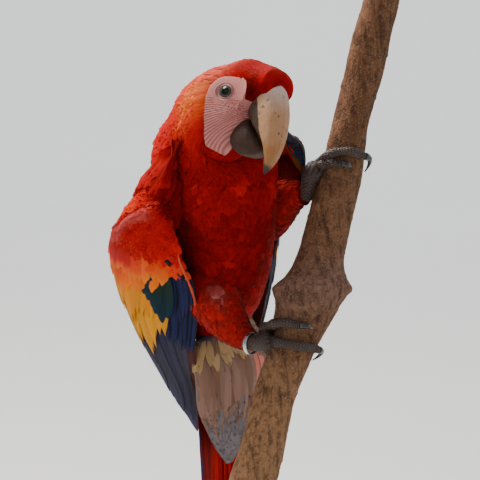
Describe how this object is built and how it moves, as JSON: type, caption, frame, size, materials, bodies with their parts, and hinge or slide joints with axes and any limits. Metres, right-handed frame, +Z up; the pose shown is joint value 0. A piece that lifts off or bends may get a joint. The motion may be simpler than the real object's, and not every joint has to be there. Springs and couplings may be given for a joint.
{
  "type": "scarlet macaw display model",
  "caption": "Life-size still model of a scarlet macaw clinging to a cut length of branch, on a flat display base with a rod.",
  "frame": {"origin": "on the floor, under the middle of the model's box", "axes": "+Z up; -Y is the side that the bird leans and looks to; the tail points to +Y; +X is the side of the branch"},
  "size_m": [0.2754, 0.5238, 0.7694],
  "materials": {
    "red_plumage": "soft overlapping feathers, matt with a faint sheen",
    "wing_coverts": "short overlapping feathers, red, then yellow, then blue",
    "flight_feathers": "long smooth vanes with a low sheen",
    "tail_feathers": "long smooth vanes with a low sheen",
    "tail_coverts": "loose pale feathers",
    "bill_pale": "worn horn, satin, stained and finely flaked",
    "bill_dark": "dark horn, satin",
    "eye": "wet and glossy",
    "foot_skin": "dry scaly skin",
    "claw": "dark horn, satin",
    "leg_ring": "plain, lightly scratched",
    "bark": "rough mottled bark",
    "stand_wood": "dark oiled wood, satin",
    "stand_steel": "brushed"
  },
  "bodies": {
    "root": {"trunk": "red_plumage", "neck": "red_plumage", "head": "red_plumage", "bill_upper": "bill_pale", "bill_lower": "bill_dark", "eye_left": "eye", "eye_right": "eye", "wing_left": "wing_coverts", "wing_right": "wing_coverts", "wing_left_flight": "flight_feathers", "wing_right_flight": "flight_feathers", "tail": "tail_feathers", "tail_coverts": "tail_coverts", "thigh_left": "red_plumage", "thigh_right": "red_plumage", "foot_left": "foot_skin", "foot_right": "foot_skin", "claw_left_outer_front": "claw", "claw_left_inner_front": "claw", "claw_left_outer_back": "claw", "claw_left_inner_back": "claw", "claw_right_outer_front": "claw", "claw_right_inner_front": "claw", "claw_right_outer_back": "claw", "claw_right_inner_back": "claw", "leg_ring": "leg_ring", "perch": "bark", "stand_base": "stand_wood", "stand_flange": "stand_steel", "stand_rod": "stand_steel"}
  },
  "joints": []
}
